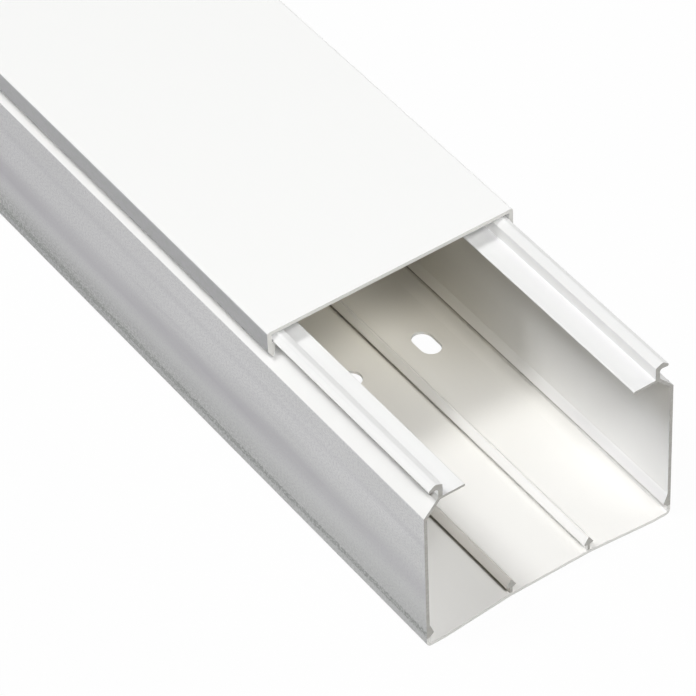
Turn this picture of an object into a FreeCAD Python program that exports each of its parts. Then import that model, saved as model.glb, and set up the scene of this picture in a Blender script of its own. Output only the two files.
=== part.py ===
import FreeCAD, Part
import math
import os

# Cable raceway in two extruded PVC lengths: a channel with screw holes in its floor,
# and a cover that snaps over its hooks.
# Lengths are millimetres. X is across, Y along and Z up. The origin is the middle of the whole part, on the
# plane that the channel's two feet rest on. The cover is slid back, so it overhangs the channel's far end.

# Overall sizes
channel_width = 80.0
overall_height = 60.0
channel_length = 1000.0
cover_length = 1000.0
cover_setback = 68.8

# Channel walls and floor
wall = 1.0
floor_thickness = 1.0
floor_rise = 2.0
foot_width = 6.0
foot_radius = 1.6
bend_radius = 0.4

# Shoulders, where each wall leans in below the cover's edge
shoulder_drop = 12.0
shoulder_angle = 48.0

# Retaining flanges, which keep the cables in while the cover is off
flange_drop = 6.9
flange_thickness = 0.8
flange_reach = 7.0

# Hooks that the cover snaps over
stem_thickness = 1.4
arm_reach = 2.8
arm_depth = 2.3
arm_tip_height = 0.8
arm_droop = 0.3
arm_root_radius = 0.8
crest_gap = 0.4
crest_setback = 1.9
hook_back_drop = 1.1
crest_radius = 1.2
edge_radius = 0.3

# Arrow-headed ribs that a divider clips to, and the half arrow at the foot of each wall
rib_spacing = 25.4
rib_stem = 0.8
rib_height = 5.2
head_height = 2.5
head_half_width = 1.6
head_undercut = 0.5
wall_barb_reach = 1.3
wall_barb_height = 3.6
wall_barb_top = 3.4
wall_barb_undercut = 1.2

# Holes for the wall screws: a row of slots on each side and a row of round holes down the middle
slot_width = 6.4
slot_length = 10.0
round_hole_width = 6.4
hole_row_spacing = 25.5
hole_stations = 4
hole_end_distance = 90.0

# Cover
cover_inset = 0.2
cover_thickness = 1.2
leg_thickness = 1.3
leg_bevel_height = 3.0
leg_tip_inset = 1.6
nib_reach = 1.3
nib_height = 0.8
cover_corner_radius = 0.9
snap_clearance = 0.3

# Places that follow from the sizes
half_width = channel_width / 2
near_end = -(channel_length + cover_setback) / 2
cover_near_end = near_end + cover_setback
shoulder_z = overall_height - shoulder_drop
shoulder_slope = math.tan(math.radians(shoulder_angle))
shoulder_lean = math.hypot(1.0, shoulder_slope)
leg_outer_x = half_width - cover_inset
leg_inner_x = leg_outer_x - leg_thickness
arm_tip_x = leg_inner_x - snap_clearance
stem_outer_x = arm_tip_x - arm_reach
stem_inner_x = stem_outer_x - stem_thickness
cover_underside_z = overall_height - cover_thickness
crest_z = cover_underside_z - crest_gap
arm_under_z = crest_z - arm_depth
cutter_bottom_z = -floor_thickness
cutter_height = floor_rise + 3 * floor_thickness


def shoulder_z_at(x):
    """Height of the shoulder's outer face at a distance x from the middle."""
    return shoulder_z + (half_width - x) * shoulder_slope


def corner_arc(before, corner, after, radius):
    """Tangent points and middle of the arc that rounds one corner of an outline."""
    to_before = (before - corner).normalize()
    to_after = (after - corner).normalize()
    half_angle = math.acos(max(-1.0, min(1.0, to_before.dot(to_after)))) / 2
    longest_cut = 0.45 * min(before.distanceToPoint(corner), after.distanceToPoint(corner))
    cut = min(radius / math.tan(half_angle), longest_cut)
    centre_distance = cut / math.cos(half_angle)
    fitted_radius = cut * math.tan(half_angle)
    bisector = (to_before + to_after).normalize()
    middle = corner + bisector * (centre_distance - fitted_radius)
    return corner + to_before * cut, middle, corner + to_after * cut


def section_face(right_half, y):
    """Face bounded by an outline and its mirror image, drawn across the raceway at y.

    The right half is a list of (x, z, radius) from the lower middle, around the outside and back."""
    left_half = [(-x, z, radius) for x, z, radius in reversed(right_half)]
    outline = right_half + left_half
    points = [FreeCAD.Vector(x, y, z) for x, z, radius in outline]
    edges = []
    corners = []
    for index, (x, z, radius) in enumerate(outline):
        corner = points[index]
        if radius > 0:
            following = points[(index + 1) % len(points)]
            start, middle, end = corner_arc(points[index - 1], corner, following, radius)
            corners.append((start, end))
            edges.append(Part.Arc(start, middle, end).toShape())
        else:
            corners.append((corner, corner))
    for index, (start, end) in enumerate(corners):
        next_start = corners[(index + 1) % len(corners)][0]
        edges.append(Part.LineSegment(end, next_start).toShape())
    return Part.Face(Part.Wire(Part.__sortEdges__(edges)))


def foot_and_wall():
    """Underside and outer face, from the raised middle of the floor up to the shoulder."""
    foot_inner_x = half_width - foot_width
    return [
        (rib_spacing / 2 + rib_stem / 2, floor_rise, 0),
        (foot_inner_x, 0, 0),
        (half_width, 0, foot_radius),
        (half_width, shoulder_z, bend_radius),
    ]


def hook_and_flange():
    """Shoulder, snap hook with its arm turned outwards, and the flange turned inwards."""
    flange_top_z = overall_height - flange_drop
    flange_under_z = flange_top_z - flange_thickness
    flange_tip_x = stem_inner_x - flange_reach
    flange_root_x = half_width - (flange_under_z - shoulder_z + wall * shoulder_lean) / shoulder_slope
    return [
        (stem_outer_x, shoulder_z_at(stem_outer_x), edge_radius),
        (stem_outer_x, arm_under_z + arm_droop, arm_root_radius),
        (arm_tip_x, arm_under_z, edge_radius),
        (arm_tip_x, arm_under_z + arm_tip_height, edge_radius),
        (arm_tip_x - crest_setback, crest_z, crest_radius),
        (stem_inner_x, crest_z - hook_back_drop, edge_radius),
        (stem_inner_x, flange_top_z, edge_radius),
        (flange_tip_x, flange_top_z, edge_radius),
        (flange_tip_x, flange_under_z, edge_radius),
        (flange_root_x, flange_under_z, edge_radius),
    ]


def inner_wall_and_barb():
    """Inner face of the wall, down to the half arrow near the floor."""
    inner_x = half_width - wall
    barb_tip_z = floor_thickness + wall_barb_height
    return [
        (inner_x, shoulder_z_at(inner_x) - wall * shoulder_lean, bend_radius),
        (inner_x, barb_tip_z + wall_barb_top, 0),
        (inner_x - wall_barb_reach, barb_tip_z, 0),
        (inner_x, barb_tip_z - wall_barb_undercut, 0),
        (inner_x, floor_thickness, bend_radius),
    ]


def floor_and_rib():
    """Top of the floor, with the arrow-headed rib at the edge of its raised middle."""
    rib_x = rib_spacing / 2
    raised_floor_z = floor_rise + floor_thickness
    apex_z = raised_floor_z + rib_height
    barb_z = apex_z - head_height
    return [
        (half_width - foot_width, floor_thickness, 0),
        (rib_x + rib_stem / 2, raised_floor_z, 0),
        (rib_x + rib_stem / 2, barb_z - head_undercut, 0),
        (rib_x + head_half_width, barb_z, 0),
        (rib_x, apex_z, edge_radius),
        (rib_x - head_half_width, barb_z, 0),
        (rib_x - rib_stem / 2, barb_z - head_undercut, 0),
        (rib_x - rib_stem / 2, raised_floor_z, 0),
    ]


def side_slot(x, y):
    """Upright cutter for one slot, long enough to pass through the floor on either side."""
    arc_offset = (slot_length - slot_width) / 2
    radius = slot_width / 2
    corners = [FreeCAD.Vector(x + side * radius, y + end * arc_offset, cutter_bottom_z)
               for side, end in ((1, -1), (1, 1), (-1, 1), (-1, -1))]
    far_tip = FreeCAD.Vector(x, y + arc_offset + radius, cutter_bottom_z)
    near_tip = FreeCAD.Vector(x, y - arc_offset - radius, cutter_bottom_z)
    edges = [
        Part.LineSegment(corners[0], corners[1]).toShape(),
        Part.Arc(corners[1], far_tip, corners[2]).toShape(),
        Part.LineSegment(corners[2], corners[3]).toShape(),
        Part.Arc(corners[3], near_tip, corners[0]).toShape(),
    ]
    return Part.Face(Part.Wire(edges)).extrude(FreeCAD.Vector(0, 0, cutter_height))


def middle_hole(y):
    """Upright cutter for one round hole in the raised middle of the floor."""
    return Part.makeCylinder(round_hole_width / 2, cutter_height, FreeCAD.Vector(0, y, cutter_bottom_z))


def floor_holes():
    """All the screw holes: at each of a few even stations a slot, a round hole and a slot."""
    pitch = (channel_length - 2 * hole_end_distance) / (hole_stations - 1)
    holes = []
    for station in range(hole_stations):
        y = near_end + hole_end_distance + station * pitch
        holes += [side_slot(-hole_row_spacing, y), middle_hole(y), side_slot(hole_row_spacing, y)]
    return Part.makeCompound(holes)


def raceway_base():
    """Channel extruded in one piece, with its screw holes punched through the floor."""
    outline = foot_and_wall() + hook_and_flange() + inner_wall_and_barb() + floor_and_rib()
    channel = section_face(outline, near_end).extrude(FreeCAD.Vector(0, channel_length, 0))
    return channel.cut(floor_holes())


def snap_cover():
    """Flat cover with a short leg at each side, whose nib grips below the hook's arm."""
    ledge_z = arm_under_z - snap_clearance
    nib_tip_x = leg_inner_x - nib_reach
    tip_x = leg_outer_x - leg_tip_inset
    tip_z = shoulder_z_at(tip_x) + snap_clearance * shoulder_lean
    outline = [
        (leg_inner_x, cover_underside_z, edge_radius),
        (leg_inner_x, ledge_z, 0),
        (nib_tip_x, ledge_z, edge_radius),
        (nib_tip_x, ledge_z - nib_height, edge_radius),
        (tip_x, tip_z, edge_radius),
        (leg_outer_x, tip_z + leg_bevel_height, edge_radius),
        (leg_outer_x, overall_height, cover_corner_radius),
    ]
    return section_face(outline, cover_near_end).extrude(FreeCAD.Vector(0, cover_length, 0))


def main():
    os.makedirs("parts", exist_ok=True)
    pieces = {"raceway_base": raceway_base(), "snap_cover": snap_cover()}
    for node, shape in pieces.items():
        solid = shape.Solids[0]
        box = solid.BoundBox
        print(node, "solids", len(shape.Solids), "valid", solid.isValid(), "volume %.0f" % solid.Volume,
              "x %.2f..%.2f y %.2f..%.2f z %.2f..%.2f" % (box.XMin, box.XMax, box.YMin, box.YMax, box.ZMin, box.ZMax))
        solid.exportStep("parts/%s.step" % node)
    print("shared volume %.4f" % pieces["raceway_base"].common(pieces["snap_cover"]).Volume,
          "closest %.3f" % pieces["raceway_base"].distToShape(pieces["snap_cover"])[0])


main()
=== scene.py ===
import math

import bpy
from bpy.props import FloatProperty, FloatVectorProperty, PointerProperty
from bpy.types import Operator, Panel, PropertyGroup
from mathutils import Matrix, Vector


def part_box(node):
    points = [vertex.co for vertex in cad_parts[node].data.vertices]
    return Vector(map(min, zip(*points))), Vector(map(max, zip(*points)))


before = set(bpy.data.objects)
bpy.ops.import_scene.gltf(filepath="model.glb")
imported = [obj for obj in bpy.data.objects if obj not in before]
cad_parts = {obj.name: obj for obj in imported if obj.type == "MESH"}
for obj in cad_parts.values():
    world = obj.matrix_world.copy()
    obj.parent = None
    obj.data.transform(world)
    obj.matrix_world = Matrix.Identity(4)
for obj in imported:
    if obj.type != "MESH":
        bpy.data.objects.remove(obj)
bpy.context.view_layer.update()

bl_info = {
    "name": "Cord Cover Raceway",
    "version": (1, 0, 0),
    "blender": (4, 5, 0),
    "location": "View3D > Sidebar > Raceway",
    "description": "Finishes a slotted PVC raceway and its snap cover, and lights them for a product view",
    "category": "Object",
}

BASE_LOW, BASE_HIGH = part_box("raceway_base")
COVER_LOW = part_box("snap_cover")[0]

# Places on the section where the finish changes, in millimetres: X from the middle, Z from the plane it rests on
MM = 1000.0
WALL_X = BASE_HIGH.x * MM
WALL_THICKNESS = 1.0
SHOULDER_Z, SHOULDER_SLOPE = 48.0, 1.11
HOOK_FOOT_X, HOOK_FOOT_Z = 35.4, 53.1
STEM_INNER_X = 34.0
FLANGE_TOP_Z = 53.1
RIB_X, RIB_FOOT_Z, RIB_TIP_Z = 12.7, 3.0, 8.2
RIB_HEAD_REACH = 1.7
RIB_CREASE_OFFSET = 0.4
WALL_FOOT_X, WALL_FOOT_Z, WALL_FOOT_TOP_Z = 36.0, 3.0, 7.0
WALL_CREASE_X, WALL_CREASE_Z = 39.0, 2.3

# Heights of the marks on the outer walls and of the painted shade that darkens them towards the foot, in
# millimetres
FOOT_LINE_Z = 4.8
BROAD_STREAK_Z, FINE_STREAK_Z = 21.3, 38.3
GREEN_FOOT_Z, GREEN_TOP_Z = 5.0, 42.0

# Where the light and shade painted inside the channel change from one end of the range to the other, in
# millimetres
BRIGHT_WALL_Z = (26.0, 40.0)
SHADED_TOP_Z = (30.0, 46.0)
SHADED_RIGHT_X, SHADED_RIGHT_Z = (16.0, 34.0), (18.0, 32.0)

# Places along the part, in millimetres
NEAR_Y = BASE_LOW.y * MM
COVER_NEAR_Y = COVER_LOW.y * MM
DEEP_Y = COVER_NEAR_Y + 60.0
GREYED_Y = NEAR_Y + 240.0

# The same all over both pieces
PVC_IOR = 1.53
BUMP_DEPTH = 0.0001

# Directions of the lamps from the near end: azimuth round the raceway and elevation, in degrees
LEFT_LAMP = (-117.0, 65.5)
FRONT_LAMP = (-22.0, 57.0)
FILL_LAMP = (-15.0, 42.0)
RIGHT_LAMP = (80.0, 20.0)

WHITE = (1.0, 1.0, 1.0, 1.0)


class RacewayFinishSettings(PropertyGroup):
    """Colours of the extruded PVC, its marks, and the light and shade painted into its colour."""

    pvc_colour: FloatVectorProperty(
        name="PVC colour", description="Colour of the channel's clean surface",
        default=(0.765, 0.76, 0.742), subtype="COLOR", min=0.0, max=1.0)
    cover_colour: FloatVectorProperty(
        name="Cover colour", description="Colour of the cover's clean surface",
        default=(0.84, 0.842, 0.832), subtype="COLOR", min=0.0, max=1.0)
    hook_colour: FloatVectorProperty(
        name="Hook colour", description="Colour of the hooks and the tops of the flanges",
        default=(0.765, 0.767, 0.76), subtype="COLOR", min=0.0, max=1.0)
    # Painted light: a brighter white on the sloping shoulders, the hooks' sides and low on the inner walls near
    # the open end
    painted_light_colour: FloatVectorProperty(
        name="Shoulder colour", description="Bright white of the sloping shoulders and the hooks' sides",
        default=(0.965, 0.965, 0.96), subtype="COLOR", min=0.0, max=1.0)
    # Painted shade: a warmer white that grows with depth inside the channel
    painted_warm_shade_colour: FloatVectorProperty(
        name="Inside colour", description="Warmer white deep inside the channel",
        default=(0.825, 0.79, 0.69), subtype="COLOR", min=0.0, max=1.0)
    # Painted shade inside the channel, near the top and low on the right
    shade_colour: FloatVectorProperty(
        name="Shade colour", description="Dull colour inside the channel, near the top and low on the right",
        default=(0.36, 0.335, 0.28), subtype="COLOR", min=0.0, max=1.0)
    # Painted shade on the floor ribs
    rib_shade_colour: FloatVectorProperty(
        name="Rib colour", description="Dull colour of the floor ribs",
        default=(0.5, 0.47, 0.42), subtype="COLOR", min=0.0, max=1.0)
    side_colour: FloatVectorProperty(
        name="Side colour", description="Colour of the outer faces of the walls between their streaks",
        default=(0.795, 0.797, 0.797), subtype="COLOR", min=0.0, max=1.0)
    # Also carries painted shade: the outer walls darken towards their foot in this colour
    green_streak_and_shade: FloatVectorProperty(
        name="Green streak", description="Colour of the greenish streaks on the walls",
        default=(0.622, 0.632, 0.62), subtype="COLOR", min=0.0, max=1.0)
    # Also carries painted shade on the outer walls, the walls' inner feet and the flanges beside the stems
    purple_streak_and_shade: FloatVectorProperty(
        name="Purple streak", description="Colour of the purplish streaks on the walls and of other light greying",
        default=(0.472, 0.461, 0.492), subtype="COLOR", min=0.0, max=1.0)
    # Colour of the ragged dark line along each wall's foot and of the painted shade above it
    foot_line_colour: FloatVectorProperty(
        name="Scuff colour", description="Colour of the ragged scuff line along the foot of each wall",
        default=(0.255, 0.264, 0.255), subtype="COLOR", min=0.0, max=1.0)
    # Painted shade in the creases
    crease_shade_colour: FloatVectorProperty(
        name="Crease colour", description="Colour of the dirt in the creases",
        default=(0.11, 0.1, 0.07), subtype="COLOR", min=0.0, max=1.0)
    # Painted shade: the walls' sawn ends are darker than the floor's
    cut_colour: FloatVectorProperty(
        name="Cut colour", description="Colour of the channel's sawn end faces",
        default=(0.27, 0.262, 0.24), subtype="COLOR", min=0.0, max=1.0)
    floor_cut_colour: FloatVectorProperty(
        name="Floor cut colour", description="Colour of the sawn end of the channel's floor",
        default=(0.6, 0.598, 0.57), subtype="COLOR", min=0.0, max=1.0)
    cover_cut_colour: FloatVectorProperty(
        name="Cover cut colour", description="Colour of the cover's sawn end faces",
        default=(0.616, 0.612, 0.581), subtype="COLOR", min=0.0, max=1.0)
    # Painted shade on the outer faces of the cover's legs
    leg_shade_colour: FloatVectorProperty(
        name="Leg colour", description="Greyed white of the outer faces of the cover's legs",
        default=(0.412, 0.424, 0.416), subtype="COLOR", min=0.0, max=1.0)
    roughness: FloatProperty(
        name="Roughness", description="Roughness of the extruded surface", default=0.52, min=0.0, max=1.0)


class RacewayStudioSettings(PropertyGroup):
    """Camera, lamps and floor."""

    camera_azimuth: FloatProperty(
        name="Camera azimuth", description="Angle of the camera round the raceway, 0 looking along it",
        default=math.radians(-33.766), subtype="ANGLE")
    camera_elevation: FloatProperty(
        name="Camera elevation", description="Angle of the camera above the horizon",
        default=math.radians(44.293), subtype="ANGLE")
    camera_roll: FloatProperty(
        name="Camera roll", description="Turn of the camera about its own line of sight",
        default=math.radians(-2.369), subtype="ANGLE")
    camera_distance: FloatProperty(
        name="Camera distance", description="Distance along the line of sight to the raceway's near end",
        default=1.21392, unit="LENGTH")
    near_end_right: FloatProperty(
        name="Near end right", description="How far right of the picture's middle the near end lies",
        default=0.053084, unit="LENGTH")
    near_end_down: FloatProperty(
        name="Near end down", description="How far below the picture's middle the near end lies",
        default=0.060766, unit="LENGTH")
    focal_length: FloatProperty(
        name="Focal length", description="Focal length in millimetres", default=239.1)
    sensor_width: FloatProperty(
        name="Sensor width", description="Width of the camera's sensor in millimetres", default=36.0)
    floor_size: FloatProperty(
        name="Floor size", description="Side of the square floor", default=40.0, unit="LENGTH")
    floor_grey: FloatProperty(
        name="Floor grey", description="Share of the light that the floor sends back to the raceway",
        default=0.65, min=0.0, max=1.0)
    floor_white: FloatProperty(
        name="Floor white", description="How much of the floor looks white whatever light falls on it",
        default=0.97, min=0.0, max=1.0)
    lamp_distance: FloatProperty(
        name="Lamp distance", description="Distance of each lamp from the raceway's near end", default=6.0,
        unit="LENGTH")
    key_size: FloatProperty(
        name="Key size", description="Side of the two small square lamps", default=1.2, unit="LENGTH")
    fill_size: FloatProperty(
        name="Fill size", description="Side of the two large square lamps", default=3.6, unit="LENGTH")
    left_power: FloatProperty(
        name="Left power", description="Power of the small high lamp on the left, in watts", default=165.0)
    front_power: FloatProperty(
        name="Front power", description="Power of the small high lamp at the open end, in watts", default=121.5)
    fill_power: FloatProperty(
        name="Fill power", description="Power of the large lamp in front, in watts", default=202.0)
    right_power: FloatProperty(
        name="Right power", description="Power of the large low lamp on the right, in watts", default=85.0)
    sky_strength: FloatProperty(
        name="Sky strength", description="Strength of the soft light from all round", default=0.01)


class Signal:
    """A value in a material. Arithmetic on it adds the Math nodes."""

    def __init__(self, socket):
        self.socket = socket
        self.tree = socket.id_data

    def math(self, operation, *operands):
        node = self.tree.nodes.new("ShaderNodeMath")
        node.operation = operation
        for slot, operand in zip(node.inputs, operands):
            if isinstance(operand, Signal):
                self.tree.links.new(operand.socket, slot)
            else:
                slot.default_value = operand
        return Signal(node.outputs[0])

    def __add__(self, other):
        return self.math("ADD", self, other)

    def __sub__(self, other):
        return self.math("SUBTRACT", self, other)

    def __rsub__(self, other):
        return self.math("SUBTRACT", other, self)

    def __mul__(self, other):
        return self.math("MULTIPLY", self, other)

    def __pow__(self, exponent):
        return self.math("POWER", self, exponent)

    def __rpow__(self, base):
        return self.math("POWER", base, self)

    def __abs__(self):
        return self.math("ABSOLUTE", self)

    __radd__ = __add__
    __rmul__ = __mul__


class Finish:
    """A material that is built node by node."""

    def __init__(self, name):
        self.material = bpy.data.materials.new(name)
        self.material.use_nodes = True
        self.tree = self.material.node_tree
        self.tree.nodes.clear()

    def node(self, kind, settings=None, inputs=None):
        """Add a node: its settings first, then the values or links of its sockets."""
        node = self.tree.nodes.new(kind)
        for name, value in (settings or {}).items():
            setattr(node, name, value)
        for name, value in (inputs or {}).items():
            if isinstance(value, Signal):
                self.tree.links.new(value.socket, node.inputs[name])
            else:
                node.inputs[name].default_value = value
        return node

    def coordinates(self, kind):
        """Object coordinates or the surface's own normal."""
        return Signal(self.node("ShaderNodeTexCoord").outputs[kind])

    def split(self, vector):
        """The three values of a vector."""
        return [Signal(output) for output in self.node("ShaderNodeSeparateXYZ", inputs={0: vector}).outputs]

    def stretched(self, vector, scales):
        """The vector with its values multiplied by three scales."""
        product = self.node("ShaderNodeVectorMath", {"operation": "MULTIPLY"}, {0: vector, 1: scales})
        return Signal(product.outputs[0])

    def noise(self, vector, scales, detail=2.0, roughness=0.5):
        """Noise of the given cycles in a millimetre along X, Y and Z."""
        inputs = {"Vector": self.stretched(vector, scales), "Scale": 1.0, "Detail": detail, "Roughness": roughness}
        return Signal(self.node("ShaderNodeTexNoise", inputs=inputs).outputs["Fac"])

    def step(self, value, low, high, to_low=0.0, to_high=1.0):
        """Smooth change from to_low to to_high as value goes from low to high."""
        settings = {"interpolation_type": "SMOOTHSTEP", "clamp": True}
        inputs = {"Value": value, "From Min": low, "From Max": high, "To Min": to_low, "To Max": to_high}
        return Signal(self.node("ShaderNodeMapRange", settings, inputs).outputs["Result"])

    def fall(self, value, low, high, start=1.0):
        """Smooth fall from start to 0 as value goes from low to high."""
        return self.step(value, low, high, start, 0.0)

    def near_line(self, first, second, centre, core, reach):
        """1 within core of a line along the part, at centre in the two given values, falling to 0 at reach."""
        distance = ((first - centre[0]) ** 2 + (second - centre[1]) ** 2) ** 0.5
        return self.fall(distance, core, reach)

    def mix(self, factor, first, second):
        """Colour between first and second."""
        node = self.node("ShaderNodeMix", {"data_type": "RGBA", "clamp_factor": True}, {0: factor})
        for slot, colour in ((6, first), (7, second)):
            if isinstance(colour, Signal):
                self.tree.links.new(colour.socket, node.inputs[slot])
            else:
                node.inputs[slot].default_value = (*colour, 1.0)
        return Signal(node.outputs[2])

    def bump(self, height, strength):
        """Normal of a surface with shallow relief."""
        inputs = {"Strength": strength, "Distance": BUMP_DEPTH, "Height": height}
        return Signal(self.node("ShaderNodeBump", inputs=inputs).outputs[0])

    def output(self, shader):
        """End the material in a shader's node."""
        self.node("ShaderNodeOutputMaterial", inputs={"Surface": Signal(shader.outputs[0])})
        return self.material


class Surface:
    """What a finish knows of a point: its place in millimetres and how far the surface there faces each way."""

    def __init__(self, finish):
        self.vector = finish.stretched(finish.coordinates("Object"), (MM, MM, MM))
        self.x, self.y, self.z = finish.split(self.vector)
        self.width = abs(self.x)
        facing = finish.split(finish.coordinates("Normal"))
        self.sideways, self.endways, self.upwards = (abs(value) for value in facing)


def outer_wall(finish, at, settings):
    """Greyed outer face of a wall: long soft streaks from the die, painted shade that darkens it towards its foot
    and its far end, and a ragged dark line along its foot.
    """
    green = finish.noise(at.vector, (1.0, 0.010, 0.05), detail=3.0)
    purple = finish.noise(at.vector, (1.0, 0.012, 0.12), detail=4.0, roughness=0.6)
    grain = finish.noise(at.vector, (1.5, 1.3, 2.0), detail=3.0, roughness=0.8)
    # Painted shade: the wall greys towards its far end
    far = finish.step(at.y, NEAR_Y, GREYED_Y, 0.0, 0.4)
    broad = finish.fall(abs(at.z - BROAD_STREAK_Z), 0.3, 7.5) * (far * 1.8 + 1.0)
    broad = broad * finish.step(purple, 0.25, 0.65, 0.34, 0.56)
    fine = finish.fall(abs(at.z - FINE_STREAK_Z), 0.2, 2.4) * finish.step(green, 0.3, 0.6, 0.15, 0.28)
    # The green tint is the PVC's own; its darkening towards the foot is painted shade
    greened = finish.fall(at.z, GREEN_FOOT_Z, GREEN_TOP_Z, 0.95) + finish.step(green, 0.42, 0.60) * 0.35
    streaks = broad + fine + finish.step(purple, 0.5, 0.72) * (far + 0.15)
    colour = finish.mix(greened, settings.side_colour, settings.green_streak_and_shade)
    colour = finish.mix(streaks, colour, settings.purple_streak_and_shade)
    colour = finish.mix(finish.step(grain, 0.38, 0.70) * 0.62 + far * 0.5, colour, settings.purple_streak_and_shade)
    ragged = finish.noise(at.vector, (0.1, 0.45, 0.45), detail=5.0, roughness=0.8)
    chips = finish.noise(at.vector, (0.8, 1.1, 1.6), detail=3.0, roughness=0.8)
    # A ragged dark line along the wall's foot, and painted shade above it that darkens the lowest part, more
    # towards the far end
    foot_line = finish.fall(abs(at.z - FOOT_LINE_Z - (ragged - 0.5) * 2.2), 0.5, 1.4, 0.68)
    above_line = finish.fall(at.z, FOOT_LINE_Z, FOOT_LINE_Z + 12.0, 0.2) * (far * 4.5 + 1.0)
    foot_line_and_shade = (foot_line + above_line) * finish.step(chips, 0.38, 0.62, 0.1, 1.9)
    return finish.mix(foot_line_and_shade, colour, settings.foot_line_colour)


def inner_faces(finish, at, colour, inside, deep, settings):
    """Inner faces below the flanges, with light and shade painted into their colour: a warm painted shade that
    grows with depth, painted light low on the walls near the open end, painted shade on the walls' inner feet near
    that end, and painted shade near the top and low on the right behind that end."""
    # Painted shade: warmer with depth along the channel
    colour = finish.mix(inside * (deep * deep * 0.95 + 0.05), colour, settings.painted_warm_shade_colour)
    # Painted light: the brighter white low on the inner walls near the open end
    lower_wall = inside * finish.step(at.sideways, 0.7, 0.9) * finish.fall(at.z, *BRIGHT_WALL_Z)
    colour = finish.mix(lower_wall * finish.fall(deep, 0.0, 0.8), colour, settings.painted_light_colour)
    # Painted shade on the inner feet of the walls near the open end
    wall_foot = inside * finish.step(at.width, WALL_FOOT_X, WALL_FOOT_X + 0.6)
    wall_foot = wall_foot * finish.step(at.z, WALL_FOOT_Z, WALL_FOOT_Z + 0.4)
    wall_foot = wall_foot * finish.fall(at.z, WALL_FOOT_TOP_Z, WALL_FOOT_TOP_Z + 2.0)
    colour = finish.mix(wall_foot * finish.fall(deep, 0.0, 0.6, 0.34), colour, settings.purple_streak_and_shade)
    # Painted shade low on the right, behind the cover's near end
    right_depth = inside * finish.step(at.y, COVER_NEAR_Y - 10.0, COVER_NEAR_Y + 40.0)
    right_depth = right_depth * finish.step(at.x, *SHADED_RIGHT_X) * finish.fall(at.z, *SHADED_RIGHT_Z, 0.5)
    colour = finish.mix(right_depth, colour, settings.shade_colour)
    # Painted shade near the top of the inner faces, reaching lower with depth
    upper = finish.step(at.z + deep * 14.0, *SHADED_TOP_Z)
    return finish.mix(inside * upper * 0.4, colour, settings.shade_colour)


def shoulders_and_hooks(finish, at, colour, behind_shoulder, settings):
    """Painted light on the sloping shoulders and the hooks' sides, slightly greyer tops of the hooks and flanges,
    and painted shade on strips of the flanges beside the hooks' stems."""
    # Painted light on the sloping shoulders, weaker at the near end
    shoulder = finish.fall(behind_shoulder, -0.3, 0.3) * finish.step(at.sideways, 0.6, 0.7)
    shoulder = shoulder * finish.step(at.upwards, 0.5, 0.6) * finish.step(at.width, HOOK_FOOT_X, HOOK_FOOT_X + 0.5)
    shoulder = shoulder * finish.step(at.y, NEAR_Y, NEAR_Y + 90.0, 0.6, 1.0)
    colour = finish.mix(shoulder, colour, settings.painted_light_colour)
    top = finish.step(at.z, FLANGE_TOP_Z - 0.5, FLANGE_TOP_Z - 0.2)
    colour = finish.mix(top * finish.fall(at.sideways, 0.5, 0.9), colour, settings.hook_colour)
    # Painted light on the hooks' sides
    colour = finish.mix(top * finish.step(at.sideways, 0.5, 0.9), colour, settings.painted_light_colour)
    # Painted shade on the flanges' tops beside the hooks' stems
    beside_stem = top * finish.fall(at.sideways, 0.4, 0.7)
    beside_stem = beside_stem * finish.step(at.width, STEM_INNER_X - 4.5, STEM_INNER_X - 0.5)
    beside_stem = beside_stem * finish.fall(at.z, FLANGE_TOP_Z + 0.3, FLANGE_TOP_Z + 0.6, 0.27)
    return finish.mix(beside_stem, colour, settings.purple_streak_and_shade)


def floor_ribs(finish, at, colour, settings):
    """Painted shade on the ribs, stronger towards their foot and much fainter on the right rib than on the left
    one.
    """
    rib = finish.fall(abs(at.width - RIB_X), RIB_HEAD_REACH, RIB_HEAD_REACH + 0.2)
    rib = rib * finish.step(at.z, RIB_FOOT_Z + 1.0, RIB_TIP_Z + 0.2, 0.9, 0.65)
    rib = rib * finish.step(at.x, -1.0, 1.0, 1.0, 0.15) * finish.step(at.z, RIB_FOOT_Z, RIB_FOOT_Z + 0.2)
    return finish.mix(rib, colour, settings.rib_shade_colour)


def creases(finish, at, colour, deep, settings):
    """Painted shade in the creases under the hooks' arms, beside the ribs and at the foot of each wall."""
    hook = finish.near_line(at.width, at.z, (HOOK_FOOT_X, HOOK_FOOT_Z), 0.85, 1.1)
    left_rib = finish.near_line(at.x, at.z, (-RIB_X - RIB_CREASE_OFFSET, RIB_FOOT_Z), 0.3, 0.75) * 0.85
    right_rib = finish.near_line(at.x, at.z, (RIB_X - RIB_CREASE_OFFSET, RIB_FOOT_Z), 0.25, 0.55) * deep * 0.7
    wall = finish.near_line(at.width, at.z, (WALL_CREASE_X, WALL_CREASE_Z), 0.3, 0.6) * (deep * 0.5 + 0.3)
    low_ends = finish.step(at.y, NEAR_Y + 0.6, NEAR_Y + 2.0)
    hook_ends = finish.step(at.y, NEAR_Y + 1.5, NEAR_Y + 3.0, 0.3, 1.0)
    # Painted shade along each crease line
    crease_shade = hook * hook_ends + (left_rib + right_rib + wall) * low_ends
    return finish.mix(crease_shade, colour, settings.crease_shade_colour)


def die_lines(finish, at):
    """Fine lines that the die draws along the length."""
    return finish.noise(at.vector, (0.9, 0.006, 0.9), detail=3.0)


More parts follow.
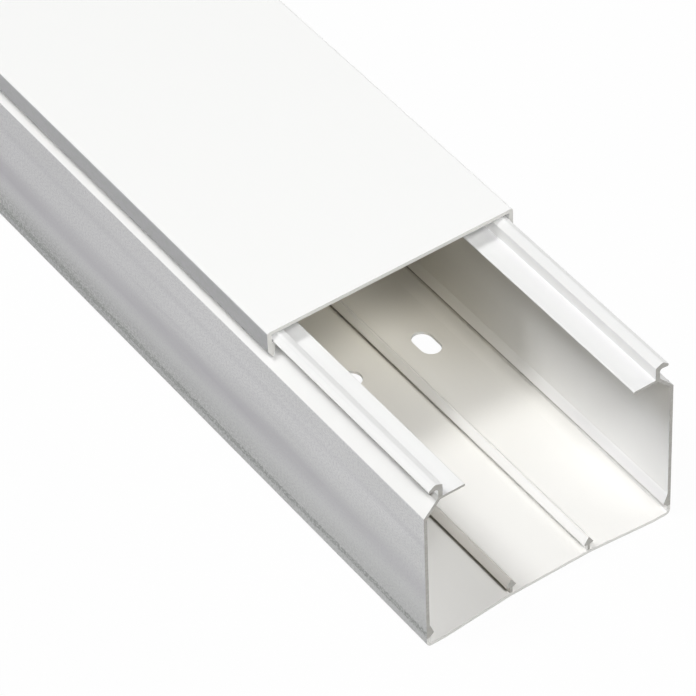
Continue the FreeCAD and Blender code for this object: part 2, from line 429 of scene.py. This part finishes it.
def extruded(finish, at, colour, sawn, clouds, lines, bump_strength, settings):
    """End a finish in satin extruded plastic with fine die lines, and with rough saw marks on its sawn ends.

    sawn is the colour of those ends and the share of the clean colour that the saw marks show."""
    saw = finish.noise(at.vector, (0.25, 3.0, 1.4))
    cut = finish.step(at.endways, 0.6, 0.9)
    sawn_colour, marks_share = sawn
    cut_colour = finish.mix(saw * marks_share, sawn_colour, settings.pvc_colour)
    height = lines * (1 - cut) * 0.4 + clouds * 0.6 + saw * cut * 2.0
    return finish.output(finish.node("ShaderNodeBsdfPrincipled", inputs={
        "Base Color": finish.mix(cut, colour, cut_colour),
        "Roughness": lines * 0.10 + (settings.roughness - 0.05) + cut * 0.3,
        "Normal": finish.bump(height, bump_strength),
        "IOR": PVC_IOR,
    }))


def channel_pvc(settings):
    """White extruded PVC of the channel: greyed outside, partly as painted shade, warmer inside as painted shade,
    with painted light on its shoulders and painted shade in its creases.
    """
    finish = Finish("channel_pvc")
    at = Surface(finish)
    lines = die_lines(finish, at)
    clouds = finish.noise(at.vector, (0.11, 0.014, 0.11))
    deep = finish.step(at.y, NEAR_Y, DEEP_Y)
    behind_shoulder = (WALL_X - at.width) * SHOULDER_SLOPE - at.z + SHOULDER_Z
    inside = finish.fall(at.width, WALL_X - WALL_THICKNESS * 0.8, WALL_X - WALL_THICKNESS * 0.5)
    inside = inside * finish.fall(at.z, FLANGE_TOP_Z - 1.0, FLANGE_TOP_Z - 0.3)
    inside = inside * finish.step(behind_shoulder, 0.5, 1.0)
    outside = finish.step(at.width, WALL_X - WALL_THICKNESS * 0.4, WALL_X - WALL_THICKNESS * 0.1)
    outside = outside * finish.step(at.sideways, 0.75, 0.9)
    colour = finish.mix(clouds * 0.10 + lines * 0.06, settings.pvc_colour, settings.side_colour)
    colour = inner_faces(finish, at, colour, inside, deep, settings)
    colour = shoulders_and_hooks(finish, at, colour, behind_shoulder, settings)
    colour = floor_ribs(finish, at, colour, settings)
    colour = finish.mix(outside, colour, outer_wall(finish, at, settings))
    colour = creases(finish, at, colour, deep, settings)
    # The walls' sawn ends take a dark grey as painted shade; the floor's sawn end is lighter
    above_floor = finish.step(at.z, RIB_FOOT_Z, RIB_FOOT_Z + 0.5)
    cut_colour = finish.mix(above_floor, settings.floor_cut_colour, settings.cut_colour)
    return extruded(finish, at, colour, (cut_colour, 0.35), clouds, lines, 0.25, settings)


def cover_pvc(settings):
    """White extruded PVC of the cover, with painted shade greying the outer faces of its legs."""
    finish = Finish("cover_pvc")
    at = Surface(finish)
    lines = die_lines(finish, at)
    clouds = finish.noise(at.vector, (0.05, 0.008, 0.05), detail=3.0)
    grain = finish.noise(at.vector, (1.0, 0.5, 0.8), detail=4.0, roughness=0.75)
    colour = finish.mix(clouds * 0.06 + lines * 0.04, settings.cover_colour, settings.side_colour)
    # Painted shade on the outer faces of the legs, with grain
    leg = finish.step(at.sideways, 0.75, 0.95) * finish.step(at.width, WALL_X - 0.6, WALL_X - 0.3)
    leg_shade_colour = finish.mix(finish.step(grain, 0.3, 0.7) * 0.75, settings.leg_shade_colour, settings.purple_streak_and_shade)
    colour = finish.mix(leg, colour, leg_shade_colour)
    return extruded(finish, at, colour, (settings.cover_cut_colour, 0.3), clouds, lines, 0.2, settings)


def give_finish(node_name, material):
    """Put a material on a CAD node."""
    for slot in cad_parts[node_name].material_slots:
        slot.material = material


class RACEWAY_OT_finish_channel(Operator):
    """Finish the slotted channel in white extruded PVC"""

    bl_idname = "raceway.finish_channel"
    bl_label = "Finish Channel"

    def execute(self, context):
        give_finish("raceway_base", channel_pvc(context.scene.raceway_finish))
        return {"FINISHED"}


class RACEWAY_OT_finish_cover(Operator):
    """Finish the snap cover in white extruded PVC"""

    bl_idname = "raceway.finish_cover"
    bl_label = "Finish Cover"

    def execute(self, context):
        give_finish("snap_cover", cover_pvc(context.scene.raceway_finish))
        return {"FINISHED"}


def direction(azimuth, elevation):
    """Unit vector towards an azimuth round the raceway and an elevation, both in radians."""
    level = math.cos(elevation)
    return Vector((math.sin(azimuth) * level, -math.cos(azimuth) * level, math.sin(elevation)))


def near_end():
    """Middle of the channel's near end, on the floor."""
    return Vector((0.0, BASE_LOW.y, 0.0))


def add_camera(settings):
    """Camera at the product photograph's angle, placed from the channel's near end."""
    roll = settings.camera_roll
    back = direction(settings.camera_azimuth, settings.camera_elevation)
    level_right = Vector((math.cos(settings.camera_azimuth), math.sin(settings.camera_azimuth), 0.0))
    level_up = back.cross(level_right)
    right = level_right * math.cos(roll) + level_up * math.sin(roll)
    up = level_up * math.cos(roll) - level_right * math.sin(roll)
    eye = near_end() + back * settings.camera_distance
    eye = eye - right * settings.near_end_right + up * settings.near_end_down
    data = bpy.data.cameras.new("photo_camera")
    data.sensor_width = settings.sensor_width
    data.lens = settings.focal_length
    data.clip_start = 0.05
    data.clip_end = 100.0
    camera = bpy.data.objects.new("photo_camera", data)
    bpy.context.scene.collection.objects.link(camera)
    camera.matrix_world = Matrix((
        (right.x, up.x, back.x, eye.x),
        (right.y, up.y, back.y, eye.y),
        (right.z, up.z, back.z, eye.z),
        (0, 0, 0, 1)))
    bpy.context.scene.camera = camera


def add_lamp(name, place, power, size, distance):
    """Square lamp that faces the near end from place, an azimuth and an elevation in degrees."""
    towards = direction(*(math.radians(angle) for angle in place))
    data = bpy.data.lights.new(name, "AREA")
    data.shape = "SQUARE"
    data.size = size
    data.energy = power
    lamp = bpy.data.objects.new(name, data)
    bpy.context.scene.collection.objects.link(lamp)
    lamp.location = near_end() + towards * distance
    lamp.rotation_mode = "QUATERNION"
    lamp.rotation_quaternion = (-towards).to_track_quat("-Z", "Y")


def seen_ray(tree):
    """1 for rays from the camera and for those that gloss or glass sends on."""
    path = tree.nodes.new("ShaderNodeLightPath")
    names = ("Is Camera Ray", "Is Glossy Ray", "Is Transmission Ray")
    camera, glossy, transmission = (Signal(path.outputs[name]) for name in names)
    return camera.math("MINIMUM", camera + glossy + transmission, 1.0)


def floor_material(settings):
    """Pale floor that looks white and still takes the raceway's shadow."""
    finish = Finish("studio_floor")
    grey = (settings.floor_grey,) * 3 + (1.0,)
    plain = finish.node("ShaderNodeBsdfDiffuse", inputs={"Color": grey})
    white = finish.node("ShaderNodeEmission", inputs={"Color": WHITE, "Strength": 1.0})
    white_share = seen_ray(finish.tree) * settings.floor_white
    return finish.output(finish.node("ShaderNodeMixShader", inputs={
        0: white_share, 1: Signal(plain.outputs[0]), 2: Signal(white.outputs[0])}))


def add_world(strength):
    """White to the eye, softer as a light."""
    world = bpy.data.worlds.new("studio_world")
    bpy.context.scene.world = world
    world.use_nodes = True
    background = world.node_tree.nodes["Background"]
    level = seen_ray(world.node_tree) * (1.0 - strength) + strength
    world.node_tree.links.new(level.socket, background.inputs["Strength"])
    background.inputs["Color"].default_value = WHITE


class RACEWAY_OT_add_studio(Operator):
    """Add the floor, the soft light, the lamps and the camera"""

    bl_idname = "raceway.add_studio"
    bl_label = "Add Studio"

    def execute(self, context):
        settings = context.scene.raceway_studio
        bpy.ops.object.select_all(action="DESELECT")
        bpy.ops.mesh.primitive_plane_add(size=settings.floor_size, location=(0.0, 0.0, 0.0))
        floor = context.object
        floor.name = "studio_floor"
        floor.data.materials.append(floor_material(settings))
        add_world(settings.sky_strength)
        distance = settings.lamp_distance
        add_lamp("left_lamp", LEFT_LAMP, settings.left_power, settings.key_size, distance)
        add_lamp("front_lamp", FRONT_LAMP, settings.front_power, settings.key_size, distance)
        add_lamp("fill_lamp", FILL_LAMP, settings.fill_power, settings.fill_size, distance)
        add_lamp("right_lamp", RIGHT_LAMP, settings.right_power, settings.fill_size, distance)
        add_camera(settings)
        context.scene.view_settings.view_transform = "Standard"
        return {"FINISHED"}


class RACEWAY_PT_sidebar(Panel):
    """Lists the settings and the steps that finish the raceway"""

    bl_idname = "RACEWAY_PT_sidebar"
    bl_label = "Raceway"
    bl_space_type = "VIEW_3D"
    bl_region_type = "UI"
    bl_category = "Raceway"

    def draw(self, context):
        layout = self.layout
        for group in (context.scene.raceway_finish, context.scene.raceway_studio):
            for name in type(group).__annotations__:
                layout.prop(group, name)
        for operator in STEPS:
            layout.operator(operator.bl_idname)


STEPS = (RACEWAY_OT_finish_channel, RACEWAY_OT_finish_cover, RACEWAY_OT_add_studio)
CLASSES = (RacewayFinishSettings, RacewayStudioSettings, *STEPS, RACEWAY_PT_sidebar)


def register():
    for cls in CLASSES:
        bpy.utils.register_class(cls)
    bpy.types.Scene.raceway_finish = PointerProperty(type=RacewayFinishSettings)
    bpy.types.Scene.raceway_studio = PointerProperty(type=RacewayStudioSettings)


def unregister():
    del bpy.types.Scene.raceway_studio
    del bpy.types.Scene.raceway_finish
    for cls in reversed(CLASSES):
        bpy.utils.unregister_class(cls)


def main():
    register()
    bpy.ops.raceway.finish_channel()
    bpy.ops.raceway.finish_cover()
    bpy.ops.raceway.add_studio()


if __name__ == "__main__":
    main()
